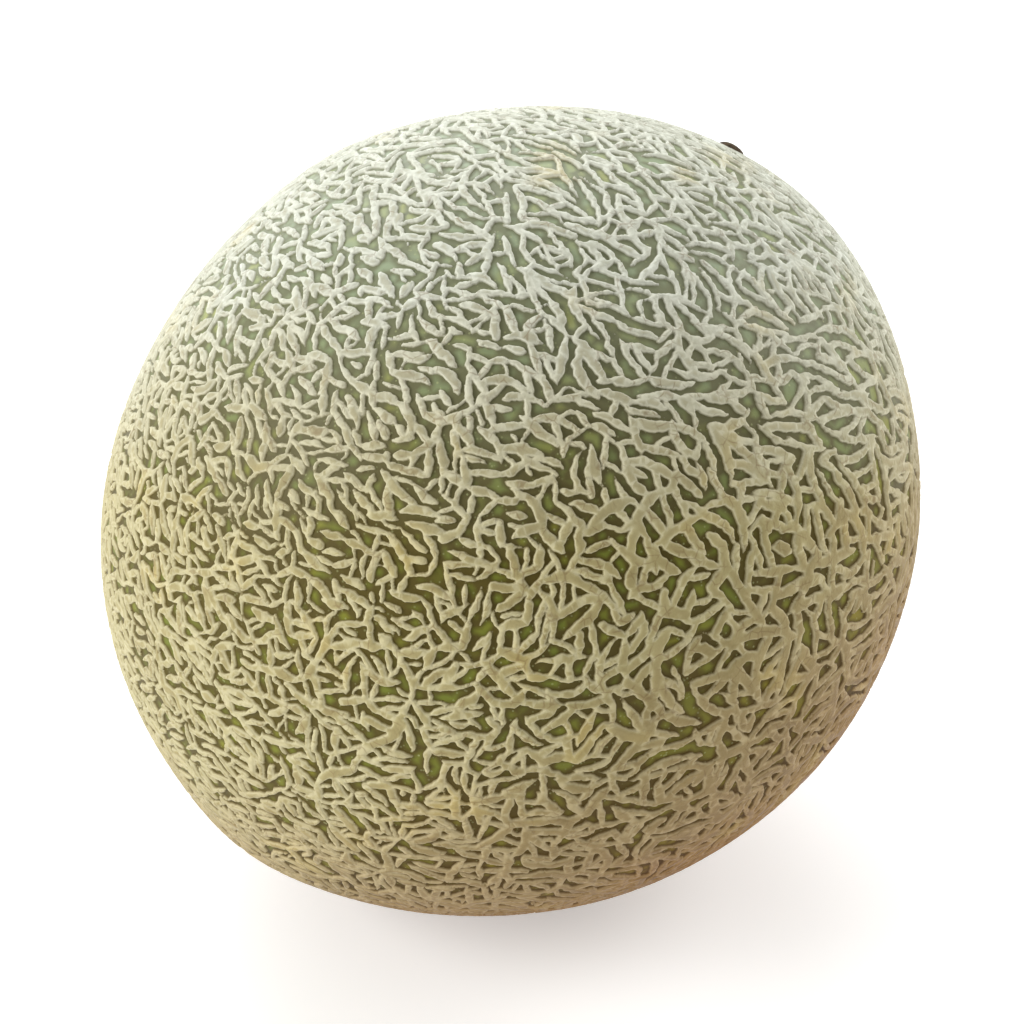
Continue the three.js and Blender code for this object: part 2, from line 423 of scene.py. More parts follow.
# %% Short cords grow into the room between
CLEARANCES = [1.6, 1.2, 0.95, 0.78, 0.65, 0.56, 0.5]
TRIES = [20000, 30000, 50000, 80000, 120000, 140000, 70000]
BRIDGES = [0, 0, 0.2, 0.45, 0.6, 0.6, 0.7]  # at most this share of a round's cords are bridges
FREE_OF_CORDS = {"flower": 3.2, "stem": 8.2}  # degrees round each end
SHORTEST, LONGEST = 1.5, 2.9
HALF_YOUNG, HALF_OLD = 0.78, 0.9
SLANT, LEAN, DRIFT = -9, 20, 13  # degrees, as are the next two
SWING = 96  # where cords run from end to end
BRIDGE_TURN = 78
BARE_TIP = 0.05  # width of a tip that joins nothing, as a share of the cord's

turn_wave, open_wave = Ripples(30, 21), Ripples(16, 22)


def grow(tries, clearance, bridges):
    """One round: tries that many places, and lays a cord at each that has room."""
    ways = unit(random.normal(size=(tries, 3)))
    needed = clearance * (1.14 + 0.86 * oldness(ways) + 0.22 * evenness(ways)) * coarseness(ways)
    needed += np.where((open_wave(ways) > 0.75) & (oldness(ways) < 0.5), 0.25, 0)
    fits = net.rooms(ways * BALL) > needed
    fits &= angle_from(ways, FLOWER_END) > FREE_OF_CORDS["flower"]
    fits &= angle_from(ways, STEM_END) > FREE_OF_CORDS["stem"]
    ways, needed, tries = ways[fits], needed[fits], fits.sum()
    old, even, swung = oldness(ways), evenness(ways), turned(ways)
    across, along = surface_axes(ways)
    loose = np.clip((angle_from(ways, FLOWER_END) - 60) / 40, 0, 1)
    lean = random.choice([-1, 1], tries) * (LEAN + 9 * loose + 16 * old)
    lean = lean + random.normal(size=tries) * (9 + 9 * loose + 16 * swung)
    bridge = random.uniform(size=tries) < bridges * (0.4 + 0.6 * np.maximum(old, even))
    turn = np.radians(SLANT + lean + SWING * swung + DRIFT * turn_wave(ways) * loose + BRIDGE_TURN * bridge)
    headings = across * np.cos(turn)[:, None] + along * np.sin(turn)[:, None]
    stout = (HALF_YOUNG + (HALF_OLD - HALF_YOUNG) * old) * coarseness(ways)
    stout = stout * random.uniform(0.75, 1.25, tries) * (1 - THINNER * even)
    reach = random.uniform(SHORTEST, LONGEST, tries) * (1 + 0.3 * old + 0.45 * even)
    curl = random.normal(size=tries) * 0.03
    joins = random.uniform(size=(tries, 2)) < (0.85 + 0.25 * old + 0.13 * even + bridge)[:, None]
    shy = random.uniform(0.4, 0.7, tries)
    tints = random.uniform(size=tries)
    for t in range(tries):
        point = ways[t] * BALL
        spots, halves = net.near(point)
        room = room_at(point, spots, halves)
        if room < needed[t]:
            continue
        arms = []
        for sign, eager in zip((1, -1), joins[t]):
            steps = round(reach[t] / STEP * (1.6 + 1.4 * old[t] + 0.6 * even[t] if eager else 1))
            arm = creep(point, headings[t] * sign, curl[t] * sign, steps, eager, shy[t], spots, halves)
            arms.append(arm)
        (fore, fore_joined), (back, back_joined) = arms
        count = len(fore) + len(back)
        if count < (2 if bridge[t] else 4):
            continue
        blunt = 0.6 + 0.3 * max(old[t], even[t])
        short = 0.9 if bridge[t] else min(1, 0.55 + count * STEP / 8)
        widest = min(stout[t], (0.74 + 0.1 * old[t]) * room) * short
        backward = -np.arange(len(back), 0, -1) / len(back)
        forward = np.arange(1, len(fore) + 1) / len(fore)
        s = np.concatenate([backward, [0], forward])
        back_tip, fore_tip = (blunt if joined else BARE_TIP for joined in (back_joined, fore_joined))
        tip = np.where(s < 0, back_tip, fore_tip)
        net.add(back[::-1] + [point] + fore, widest * (1 - (1 - tip) * np.abs(s) ** TAPER), tints[t])


for tries, clearance, bridges in zip(TRIES, CLEARANCES, BRIDGES):
    grow(tries, clearance, bridges)
    print(len(net.cords), "cords with room down to", clearance, "mm")

# %% [markdown]
# ## From lines to a raised surface
#
# A cord could be a small mesh of its own, but thousands of crossing meshes leave cracks and hidden faces.
# Here the net is one skin instead. Every point of a fine ball asks how deep it lies inside the cords: more
# than nothing is net, less is bare skin. Cords that are close together add up softly, which fills the
# corner between two of them with a small web, as cork does. The webs are widest on the old side.

# %% How deep each point lies inside the net
FAR_OUTSIDE = -2.4
SEG_A = np.concatenate([p[:-1] for p, h, t in net.cords])
SEG_B = np.concatenate([p[1:] for p, h, t in net.cords])
HALF_A = np.concatenate([h[:-1] for p, h, t in net.cords])
HALF_B = np.concatenate([h[1:] for p, h, t in net.cords])
TINT = np.concatenate([np.full(len(p) - 1, t) for p, h, t in net.cords])
ragged = [(Ripples(2.3, seed, 14), Ripples(1.1, seed + 3, 14)) for seed in (31, 32, 33)]


def depth_in_net(ways):
    """Each direction's depth inside the cords, the nearest point on a cord's line, and that cord's tint."""
    wobble = np.stack([0.15 * broad(ways) + 0.06 * fine(ways) for broad, fine in ragged], axis=1)
    points = ways * BALL + wobble
    web = 0.17 + 0.09 * smooth_step(oldness(ways), 0.05, 0.7) + 0.04 * evenness(ways)
    deepest = np.full(len(points), FAR_OUTSIDE)
    total = np.full(len(points), 1e-6)
    nearest = points.copy()
    tint = np.full(len(points), 0.5)
    span = SEG_B - SEG_A
    span_squared = (span**2).sum(1)
    for vertex, segment in near_pairs(points, (SEG_A + SEG_B) / 2):
        away = points[vertex] - SEG_A[segment]
        share = np.clip((away * span[segment]).sum(1) / span_squared[segment], 0, 1)
        half = HALF_A[segment] + (HALF_B[segment] - HALF_A[segment]) * share
        inside = half - np.sqrt(((away - span[segment] * share[:, None]) ** 2).sum(1))
        total += np.bincount(vertex, np.exp(inside / web[vertex]), len(points))
        hit = np.flatnonzero(inside > deepest[vertex])
        hit = hit[np.argsort(inside[hit], kind="stable")]
        vertex, segment, share, inside = vertex[hit], segment[hit], share[hit], inside[hit]
        deepest[vertex] = inside
        nearest[vertex] = SEG_A[segment] + span[segment] * share[:, None]
        tint[vertex] = TINT[segment]
    return web * (np.log(total) - 1.0), nearest, points, tint


# %% [markdown]
# A cord's side is steep and its top is nearly flat, with a faint groove along the middle where the crack
# was. The points of the ball don't know where a cord's edge is, so those near an edge first slide onto it.
# That gives the cords clean outlines from far fewer points.

# %% The height of the net at a depth
SKIN_HEIGHT = 0.15
SINK = -0.05  # the net's edge dips 0.2 mm under the skin, so that no gap shows
FOOT = -0.03  # the depth at which a cord's side starts to rise
SIDE = 0.3  # how wide a cord's side is, seen from above
TOP = NET_HEIGHT - 0.2
CROWN, GROOVE = 0.08, 0.07


def net_height(depth):
    side = np.clip((depth - FOOT) / SIDE, 0, 1)
    crown = CROWN * (1 - np.exp(-np.maximum(depth - SIDE, 0) / 0.15))
    groove = GROOVE * smooth_step(depth, 0.4, 0.66)
    return SINK + (TOP - SINK) * side + crown - groove


EDGE = 0.02  # the points come to lie this far outside the depths 0 and SIDE
SLIDE_IN, SLIDE_OUT = 0.24, 0.22  # how far they may slide, towards the cord's middle and away from it


def slide_to_edges(ways, depth, nearest, points):
    """Directions moved so that points near a cord's foot or shoulder lie right on it."""
    target = np.where(depth < 0.5 * SIDE, -EDGE, SIDE - EDGE)
    move = np.where((depth > -SLIDE_IN) & (depth < SIDE + SLIDE_OUT), depth - target, 0)
    away = points - nearest
    away = away / np.maximum(np.linalg.norm(away, axis=1, keepdims=True), 1e-6)
    return unit(ways * BALL + away * move[:, None])


# %% [markdown]
# The net starts as a very fine icosphere, because its triangles are all nearly the same size, with none of
# the pinched poles of a globe. A Mask modifier then drops the points that no cord covers, and a Decimate
# modifier spends the remaining triangles where the surface bends.

# %% Helpers for meshes
def fine_ball(name, levels):
    """An icosphere of radius 1, each level with four times the triangles of the one before."""
    ball = bmesh.new()
    bmesh.ops.create_icosphere(ball, subdivisions=levels, radius=1)
    mesh = bpy.data.meshes.new(name)
    ball.to_mesh(mesh)
    ball.free()
    piece = bpy.data.objects.new(name, mesh)
    bpy.context.scene.collection.objects.link(piece)
    return piece


def read(mesh, what, count=3):
    """One value, or a row of three, for each point of a mesh."""
    values = np.empty(len(mesh.vertices) * count, np.float32)
    mesh.vertices.foreach_get(what, values)
    return values.reshape(-1, count).astype(float)


def write_places(mesh, places):
    mesh.vertices.foreach_set("co", places.astype(np.float32).ravel())
    mesh.update()


def keep_values(mesh, name, values):
    layer = mesh.attributes.new(name, "FLOAT", "POINT")
    layer.data.foreach_set("value", values.astype(np.float32))


def apply_modifiers(piece):
    """Makes the piece's mesh what its modifiers show, and drops them."""
    graph = bpy.context.evaluated_depsgraph_get()
    shown = bpy.data.meshes.new_from_object(piece.evaluated_get(graph))
    old = piece.data
    piece.modifiers.clear()
    piece.data = shown
    bpy.data.meshes.remove(old)
    piece.data.name = piece.name


# %% The net's mesh
NET_LEVELS = 9
NET_TRIANGLES = 700000
cork = fine_ball("cork_net", NET_LEVELS)
ways = unit(read(cork.data, "co"))
depth, nearest, points, tint = depth_in_net(ways)
ways = slide_to_edges(ways, depth, nearest, points)
depth, nearest, points, tint = depth_in_net(ways)
print("net covers", round(float((depth > 0).mean()) * 100), "% of the skin")

# %% Raise it, drop what is bare, and thin the rest
write_places(cork.data, place_over_skin(ways, net_height(depth)))
keep_values(cork.data, "tint", tint)
keep_values(cork.data, "depth", depth)
edges = np.empty(len(cork.data.edges) * 2, np.int32)
cork.data.edges.foreach_get("vertices", edges)
edges = edges.reshape(-1, 2)
covered = depth > FOOT
wanted = covered.copy()
wanted[edges[covered[edges[:, 1]], 0]] = True
wanted[edges[covered[edges[:, 0]], 1]] = True
group = cork.vertex_groups.new(name="covered")
group.add(np.flatnonzero(wanted).tolist(), 1, "REPLACE")
mask = cork.modifiers.new("covered", "MASK")
mask.vertex_group = "covered"
apply_modifiers(cork)
print("net has", len(cork.data.polygons), "triangles before thinning")
thin = cork.modifiers.new("thin", "DECIMATE")
thin.ratio = min(1, NET_TRIANGLES / len(cork.data.polygons))
apply_modifiers(cork)
print("net has", len(cork.data.polygons), "triangles after thinning")

# %% [markdown]
# The whole net has too many triangles for one piece, so it is cut into four wedges that run from the flower
# end to the stem end. Each point first notes which way the whole surface faces there. The wedges then shade
# as one, and no line shows where two of them meet.

# %% Which way the whole net faces, and its four wedges
WEDGES = ["net_front", "net_right", "net_back", "net_left"]
FRONT = [0, -1, 0.7]
WHOLE_NORMAL = "whole_normal"
cork.data.shade_smooth()
facing = np.empty(len(cork.data.vertices) * 3, np.float32)
cork.data.vertex_normals.foreach_get("vector", facing)
layer = cork.data.attributes.new(WHOLE_NORMAL, "FLOAT_VECTOR", "POINT")
layer.data.foreach_set("vector", facing)


def wedge_of(centres):
    """Which wedge each face is in, by its turn about the core, counted from the side that faces the front."""
    out = centres - MIDDLE * MM
    front = unit(np.cross(np.cross(CORE, FRONT), CORE))
    turn = np.arctan2(out @ np.cross(CORE, front), out @ front)
    return np.floor(turn / (math.pi / 2) + 0.5).astype(int) % 4


# %% [markdown]
# A border cuts through cords, and can leave a few triangles of one alone on the far side. Faces that touch
# are given one number, and the lowest number spreads until each island has its own. A bit that is small then
# goes to the wedge beside it, and a fleck that touches nothing is left out.

# %% Small bits at the borders
SMALL_BIT = 40  # triangles


def face_pairs(mesh):
    """The two triangles at each edge that has two."""
    edge = np.empty(len(mesh.loops), np.int32)
    mesh.loops.foreach_get("edge_index", edge)
    order = np.argsort(edge, kind="stable")
    same = np.flatnonzero(edge[order][1:] == edge[order][:-1])
    return np.stack([order[same], order[same + 1]], axis=1) // 3


def islands(count, pairs):
    """A number for each face, the same for all that the pairs join."""
    label = np.arange(count)
    while True:
        before = label.copy()
        lower = np.minimum(label[pairs[:, 0]], label[pairs[:, 1]])
        np.minimum.at(label, pairs[:, 0], lower)
        np.minimum.at(label, pairs[:, 1], lower)
        label = label[label]
        if (label == before).all():
            return label


def join_bits(wedge, pairs):
    """Gives small bits that a border cuts off to the wedge next to them, and leaves out loose flecks."""
    count = len(wedge)
    whole = islands(count, pairs)
    fleck = np.bincount(whole, minlength=count)[whole] < SMALL_BIT
    cut = wedge[pairs[:, 0]] != wedge[pairs[:, 1]]
    bit = islands(count, pairs[~cut])
    small = np.bincount(bit, minlength=count)[bit] < SMALL_BIT
    across = np.concatenate([pairs[cut], pairs[cut][:, ::-1]])
    across = across[small[across[:, 0]] & ~small[across[:, 1]]]
    next_wedge = np.full(count, -1)
    next_wedge[bit[across[:, 0]]] = wedge[across[:, 1]]
    moved = small & (next_wedge[bit] >= 0)
    print(moved.sum(), "triangles moved to the next wedge,", fleck.sum(), "left out as flecks")
    wedge = np.where(moved, next_wedge[bit], wedge)
    return np.where(fleck, -1, wedge)


# %% Cut the net
def cut_wedges(whole):
    centres = np.empty(len(whole.data.polygons) * 3, np.float32)
    whole.data.polygons.foreach_get("center", centres)
    wedge = join_bits(wedge_of(centres.reshape(-1, 3)), face_pairs(whole.data))
    pieces = []
    for number, name in enumerate(WEDGES):
        part = bmesh.new()
        part.from_mesh(whole.data)
        part.faces.ensure_lookup_table()
        others = [part.faces[i] for i in np.flatnonzero(wedge != number)]
        bmesh.ops.delete(part, geom=others, context="FACES")
        mesh = bpy.data.meshes.new(name)
        part.to_mesh(mesh)
        part.free()
        normals = np.empty(len(mesh.vertices) * 3, np.float32)
        mesh.attributes[WHOLE_NORMAL].data.foreach_get("vector", normals)
        mesh.attributes.remove(mesh.attributes[WHOLE_NORMAL])
        mesh.normals_split_custom_set_from_vertices(normals.reshape(-1, 3))
        piece = bpy.data.objects.new(name, mesh)
        bpy.context.scene.collection.objects.link(piece)
        pieces.append(piece)
        print(name, len(mesh.polygons), "triangles")
    bpy.data.meshes.remove(whole.data)
    return pieces


net_pieces = cut_wedges(cork)

# %% [markdown]
# ## The skin
#
# The skin under the net is smooth and waxy, so a coarser ball is enough for it.

# %% The skin's mesh
SKIN_LEVELS = 7
BARE_AT = 0.7  # this far from the nearest cord the skin counts as wholly bare
skin = fine_ball("green_skin", SKIN_LEVELS)
skin_ways = unit(read(skin.data, "co"))
write_places(skin.data, place_over_skin(skin_ways, np.full(len(skin_ways), SKIN_HEIGHT)))
skin_depth = depth_in_net(skin_ways)[0]
keep_values(skin.data, "bareness", smooth_step(-skin_depth, 0.0, BARE_AT))
skin.data.shade_smooth()
print("skin has", len(skin.data.polygons), "triangles")

# %% [markdown]
# ## The two ends
#
# The flower leaves a small dry button, a short drum with a hollow in its top. The stem lets go of a ripe
# melon by itself, and leaves a round scar: a low rim round a dish of dry fibre, with the stub of the core in
# it. Both are made from rings drawn in towards the middle, which makes neat quads all the way. A Subdivision
# Surface modifier then rounds them.

# %% Rings drawn in from a circle
def ring_piece(name, way, profile, sides, unevenness, seed):
    """A round cap on the melon. The profile is a list of (radius, height over the skin), outermost first."""
    cap = bmesh.new()
    bmesh.ops.create_circle(cap, cap_ends=False, radius=1, segments=sides)
    ring = list(cap.edges)
    rings = [list(cap.verts)]
    for _ in profile[1:]:
        made = bmesh.ops.extrude_edge_only(cap, edges=ring)["geom"]
        ring = [g for g in made if isinstance(g, bmesh.types.BMEdge)]
        rings.append([g for g in made if isinstance(g, bmesh.types.BMVert)])
    bmesh.ops.contextual_create(cap, geom=ring)
    across, along = surface_axes(way[None])
    wave = Ripples(6, seed, 12)
    for (radius, height), verts in zip(profile, rings):
        turns = np.array([math.atan2(v.co.y, v.co.x) for v in verts])
        flat = (np.cos(turns)[:, None] * across + np.sin(turns)[:, None] * along) * radius / BALL
        ways = unit(way + flat)
        rough = unevenness * wave(ways) * min(1, radius)
        out = MIDDLE + ways * (skin_radius(ways) + height + rough)[:, None]
        for vert, point in zip(verts, out * MM):
            vert.co = point
    bmesh.ops.recalc_face_normals(cap, faces=cap.faces)
    mesh = bpy.data.meshes.new(name)
    cap.to_mesh(mesh)
    cap.free()
    mesh.shade_smooth()
    piece = bpy.data.objects.new(name, mesh)
    bpy.context.scene.collection.objects.link(piece)
    soft = piece.modifiers.new("soft", "SUBSURF")
    soft.levels = soft.render_levels = 2
    apply_modifiers(piece)
    print(name, len(piece.data.polygons), "faces")
    return piece


# %% The button and the scar
BUTTON_PROFILE = [  # radius, height over the skin
    (2.2, -0.6),
    (2.6, 0.2),
    (2.8, 1.2),
    (2.4, 1.9),
    (1.8, 2.05),
    (1.2, 1.7),
    (0.8, 1.3),
    (0.35, 1.45),
    (0.1, 1.5),
]
SCAR_PROFILE = [  # the same, with the rim first and the stub last
    (9.7, -0.8),
    (9.5, 0.3),
    (8.9, 0.8),
    (8.1, 0.75),
    (7.3, 0.3),
    (6.3, -0.02),
    (5.3, -0.36),
    (4.4, -0.6),
    (3.1, -0.7),
    (2.3, -0.2),
    (1.3, -0.05),
    (0.3, -0.25),
]
button = ring_piece("flower_button", FLOWER_END, BUTTON_PROFILE, sides=18, unevenness=0.22, seed=51)
scar = ring_piece("stem_scar", STEM_END, SCAR_PROFILE, sides=40, unevenness=0.16, seed=52)

# %% [markdown]
# ## Finishes
#
# Both the cork and the skin are pale and cool on the upper side, and turn warm and brown towards the
# underside, where the melon lay on the ground as it grew. Part of it is painted light and shade: the upper
# and far side is paler as if lit, and the lower right side darker and browner as if in shade. That effect
# is a node group of its own: it reads the place on the melon, mixes three colours by height with ragged
# borders, and hands back one. A second group makes the uneven tone that no grown thing is without, and a
# third one the finest bumps.

# %% Helpers for nodes
def node(tree, kind, settings=None, **inputs):
    """A new node. An input is given by name, or by number as i0, i1 and so on, as a value or a link."""
    made = tree.nodes.new(kind)
    for name, value in (settings or {}).items():
        setattr(made, name, value)
    for name, value in inputs.items():
        numbered = name[0] == "i" and name[1:].isdigit()
        socket = made.inputs[int(name[1:]) if numbered else name]
        if isinstance(value, bpy.types.NodeSocket):
            tree.links.new(value, socket)
        else:
            socket.default_value = value
    return made


def maths(tree, operation, a, b=0.0, c=0.0, clamp=False):
    """A calculation with up to three values or links. MULTIPLY_ADD is a times b, plus c."""
    settings = {"operation": operation, "use_clamp": clamp}
    return node(tree, "ShaderNodeMath", settings, i0=a, i1=b, i2=c).outputs[0]


def ramp(tree, value, low, high, to_low=0.0, to_high=1.0):
    """A value stretched from one range to another, and held at the ends."""
    ends = {"i1": low, "i2": high, "i3": to_low, "i4": to_high}
    return node(tree, "ShaderNodeMapRange", {"clamp": True}, i0=value, **ends).outputs[0]


def blend_colour(tree, share, a, b, kind="MIX"):
    settings = {"data_type": "RGBA", "blend_type": kind}
    return node(tree, "ShaderNodeMix", settings, i0=share, i6=a, i7=b).outputs[2]


def srgb(red, green, blue):
    """A colour from the numbers of a picture, as the linear light that nodes work in."""
    shares = [c / 255 for c in (red, green, blue)]
    return *[c / 12.92 if c < 0.04 else ((c + 0.055) / 1.055) ** 2.4 for c in shares], 1


def new_group(name, inputs, outputs):
    """A group with named sockets, what it is given, and where its results go."""
    group = bpy.data.node_groups.new(name, "ShaderNodeTree")
    for socket, kind in inputs.items():
        group.interface.new_socket(socket, in_out="INPUT", socket_type=kind)
    for socket, kind in outputs.items():
        group.interface.new_socket(socket, in_out="OUTPUT", socket_type=kind)
    return group, group.nodes.new("NodeGroupInput").outputs, group.nodes.new("NodeGroupOutput").inputs


COLOUR, FLOAT, VECTOR = "NodeSocketColor", "NodeSocketFloat", "NodeSocketVector"


def place_on_melon(tree):
    return node(tree, "ShaderNodeTexCoord").outputs["Object"]


# %% Node group: uneven tone
uneven, given, result = new_group("uneven_tone", {"Size": FLOAT, "Detail": FLOAT}, {"Tone": FLOAT})
scale = maths(uneven, "DIVIDE", 1.0, given["Size"])
cloud = node(uneven, "ShaderNodeTexNoise", Vector=place_on_melon(uneven), Scale=scale, Detail=given["Detail"])
cloud.inputs["Roughness"].default_value = 0.55
uneven.links.new(ramp(uneven, cloud.outputs[0], 0.3, 0.7), result["Tone"])

# %% Node group: warmer towards the ground, with painted light and shade
takes = {"Upper": COLOUR, "Middle": COLOUR, "Ground": COLOUR, "Raggedness": FLOAT}
ground_spot_and_shade, given, result = new_group("ground_spot_and_painted_shade", takes, {"Color": COLOUR})
split = node(ground_spot_and_shade, "ShaderNodeSeparateXYZ", i0=place_on_melon(ground_spot_and_shade))
cloud = node(ground_spot_and_shade, "ShaderNodeTexNoise", Vector=place_on_melon(ground_spot_and_shade), Scale=38.0, Detail=3.0)
x, y, z = split.outputs
sway = maths(ground_spot_and_shade, "SUBTRACT", cloud.outputs[0], 0.5)
ragged_z = maths(ground_spot_and_shade, "MULTIPLY_ADD", sway, given["Raggedness"], z)
# Painted light and shade: the right side turns to the underside's brown sooner, and the far side to the pale
# upper colour.
low = maths(ground_spot_and_shade, "MULTIPLY_ADD", x, -0.45, ragged_z)
high = maths(ground_spot_and_shade, "MULTIPLY_ADD", y, 0.5, ragged_z)
low_half = blend_colour(ground_spot_and_shade, ramp(ground_spot_and_shade, low, 0.006, 0.08), given["Ground"], given["Middle"])
whole = blend_colour(ground_spot_and_shade, ramp(ground_spot_and_shade, high, 0.08, 0.128), low_half, given["Upper"])
ground_spot_and_shade.links.new(whole, result["Color"])

# %% Node group: fine bumps
grain, given, result = new_group("fine_grain", {"Size": FLOAT, "Depth": FLOAT}, {"Normal": VECTOR})
scale = maths(grain, "DIVIDE", 1.0, given["Size"])
fine = node(grain, "ShaderNodeTexNoise", Vector=place_on_melon(grain), Scale=scale, Detail=4.0)
bump = node(grain, "ShaderNodeBump", Height=fine.outputs[0], Distance=given["Depth"], Strength=1.0)
grain.links.new(bump.outputs[0], result["Normal"])


# %% Helpers for finishes
RAGGED = 0.03


def use(tree, group, **inputs):
    """One of the groups above in a material, with its own values. Gives its result."""
    made = tree.nodes.new("ShaderNodeGroup")
    made.node_tree = group
    for name, value in inputs.items():
        if isinstance(value, bpy.types.NodeSocket):
            tree.links.new(value, made.inputs[name])
        else:
            made.inputs[name].default_value = value
    return made.outputs[0]


def new_finish(name):
    material = bpy.data.materials.new(name)
    material.use_nodes = True
    return material, material.node_tree, material.node_tree.nodes["Principled BSDF"]


def attribute(tree, name):
    return node(tree, "ShaderNodeAttribute", {"attribute_name": name}).outputs["Fac"]


def by_height(tree, upper, middle, low):
    """The tone of upper side, flanks and underside, with painted light and shade, as one colour output."""
    return use(tree, ground_spot_and_shade, Upper=srgb(*upper), Middle=srgb(*middle), Ground=srgb(*low), Raggedness=RAGGED)


# %% [markdown]
# The cork of the net is pale and dry. Its tone differs from cord to cord, with a few yellower patches. The
# mesh carries two values for this: tint is one number for each cord, and depth says how far inside the cord
# a point lies.

# %% Cork, cord by cord
cork_finish, tree, shader = new_finish("net_cork")
tone = use(tree, uneven, Size=0.0045, Detail=4.0)
broad_tone = use(tree, uneven, Size=0.03, Detail=2.0)
pale = by_height(tree, (205, 209, 197), (187, 178, 133), (141, 97, 46))
tan = by_height(tree, (178, 180, 163), (157, 146, 101), (112, 72, 29))
own = attribute(tree, "tint")
share = maths(tree, "MULTIPLY_ADD", tone, 0.45, maths(tree, "MULTIPLY", own, 0.35))
share = maths(tree, "MULTIPLY_ADD", broad_tone, 0.2, share, clamp=True)
colour = blend_colour(tree, share, pale, tan)
yellow = use(tree, uneven, Size=0.017, Detail=2.0)
colour = blend_colour(tree, ramp(tree, yellow, 0.72, 1.0, 0.0, 0.32), colour, srgb(206, 184, 108))

# %% [markdown]
# Across a cord, the groove is a little darker, the shoulders are lighter with a painted highlight, and fine
# dark cracks run over the top in places. The sides go down into dark olive at the skin, as painted shade.

# %% Cork, from a cord's middle to its foot
inside = attribute(tree, "depth")
groove = ramp(tree, inside, 0.3, 0.56, 0.0, 0.42)
colour = blend_colour(tree, groove, colour, blend_colour(tree, 1.0, colour, srgb(205, 192, 160), "MULTIPLY"))
# Painted highlight: the shoulders of a cord are lighter, and paler still on the upper side.
painted_rim_highlight = maths(tree, "MULTIPLY", ramp(tree, inside, 0.1, 0.2), ramp(tree, inside, 0.24, 0.38, 0.52, 0.0))
rim_highlight_colour = by_height(tree, (225, 225, 210), (212, 205, 170), (169, 130, 78))
colour = blend_colour(tree, painted_rim_highlight, colour, rim_highlight_colour)
bent = node(tree, "ShaderNodeTexNoise", Vector=place_on_melon(tree), Scale=300.0, Detail=2.0).outputs["Color"]
bent = node(tree, "ShaderNodeMix", {"data_type": "VECTOR"}, i0=0.0015, i4=place_on_melon(tree), i5=bent)
bent = bent.outputs[1]
cracks = node(tree, "ShaderNodeTexVoronoi", {"feature": "DISTANCE_TO_EDGE"}, Vector=bent, Scale=430.0)
cracks = ramp(tree, cracks.outputs[0], 0.02, 0.07, 1.0, 0.0)
crack_places = ramp(tree, use(tree, uneven, Size=0.004, Detail=1.0), 0.45, 0.75, 0.0, 0.42)
cracks = maths(tree, "MULTIPLY", cracks, crack_places)
cracks = maths(tree, "MULTIPLY", cracks, ramp(tree, inside, 0.1, 0.3))
colour = blend_colour(tree, cracks, colour, srgb(112, 86, 50))
# Painted shade: a cord's side darkens towards its foot, where it meets the skin.
side = ramp(tree, inside, 0.0, 0.18)
foot = by_height(tree, (130, 128, 98), (88, 74, 37), (84, 56, 20))
colour = blend_colour(tree, side, foot, colour)
tree.links.new(colour, shader.inputs["Base Color"])
tree.links.new(use(tree, grain, Size=0.0005, Depth=0.00012), shader.inputs["Normal"])
shader.inputs["Roughness"].default_value = 0.6
shader.inputs["Specular IOR Level"].default_value = 0.2
shader.inputs["Sheen Weight"].default_value = 0.06
shader.inputs["Sheen Roughness"].default_value = 0.5
print(cork_finish.name, "has", len(tree.nodes), "nodes")

# %% [markdown]
# The skin is waxy: sage on the upper side, olive lower down, with yellower patches. The paler upper side and
# the browner lower right are partly painted light and shade. Beside a cord it is darker, which is painted
# shade, and in the middle of an open mesh it is at its greenest.

# %% Green of the waxy skin
skin_finish, tree, shader = new_finish("waxy_skin")
patch = use(tree, uneven, Size=0.012, Detail=3.0)
green = by_height(tree, (144, 156, 126), (109, 116, 40), (118, 84, 20))
yellow = by_height(tree, (158, 163, 108), (126, 124, 36), (130, 94, 22))
shade = by_height(tree, (120, 124, 96), (84, 73, 24), (80, 48, 8))
colour = blend_colour(tree, ramp(tree, patch, 0.45, 0.95), green, yellow)
# Painted shade: the skin darkens near each cord, by its bareness.
colour = blend_colour(tree, ramp(tree, attribute(tree, "bareness"), 0.15, 0.75), shade, colour)
speck = node(tree, "ShaderNodeTexVoronoi", Vector=place_on_melon(tree), Scale=900.0)
dots = ramp(tree, speck.outputs["Distance"], 0.14, 0.22, 0.35, 0.0)
dots = maths(tree, "MULTIPLY", dots, use(tree, uneven, Size=0.006, Detail=1.0))
colour = blend_colour(tree, dots, colour, srgb(190, 196, 140))
tree.links.new(colour, shader.inputs["Base Color"])
tree.links.new(use(tree, grain, Size=0.0011, Depth=0.00006), shader.inputs["Normal"])
greys = {name: (grey, grey, grey, 1) for name, grey in (("Upper", 0.42), ("Middle", 0.55), ("Ground", 0.9))}
tree.links.new(use(tree, ground_spot_and_shade, Raggedness=RAGGED, **greys), shader.inputs["Roughness"])
shader.inputs["Specular IOR Level"].default_value = 0.2
shader.inputs["Sheen Weight"].default_value = 0.08
shader.inputs["Sheen Roughness"].default_value = 0.4
print(skin_finish.name, "has", len(tree.nodes), "nodes")

# %% [markdown]
# The scar and the button are dead fibre, brown and matt, and blotched by the uneven tone. The button is the
# darker one, because it dried up long before the stem let go.

# %% Dry brown of the scar and the button
def dry_brown(name, blotch, fibre, dark, pale):
    """A matt brown. The sizes of its blotches and of its fibres are in metres."""
    finish, tree, shader = new_finish(name)
    tone = use(tree, uneven, Size=blotch, Detail=5.0)
    tree.links.new(blend_colour(tree, tone, srgb(*dark), srgb(*pale)), shader.inputs["Base Color"])
    tree.links.new(use(tree, grain, Size=fibre, Depth=0.0003), shader.inputs["Normal"])
    shader.inputs["Roughness"].default_value = 0.85
    print(name, "has", len(tree.nodes), "nodes")
    return finish


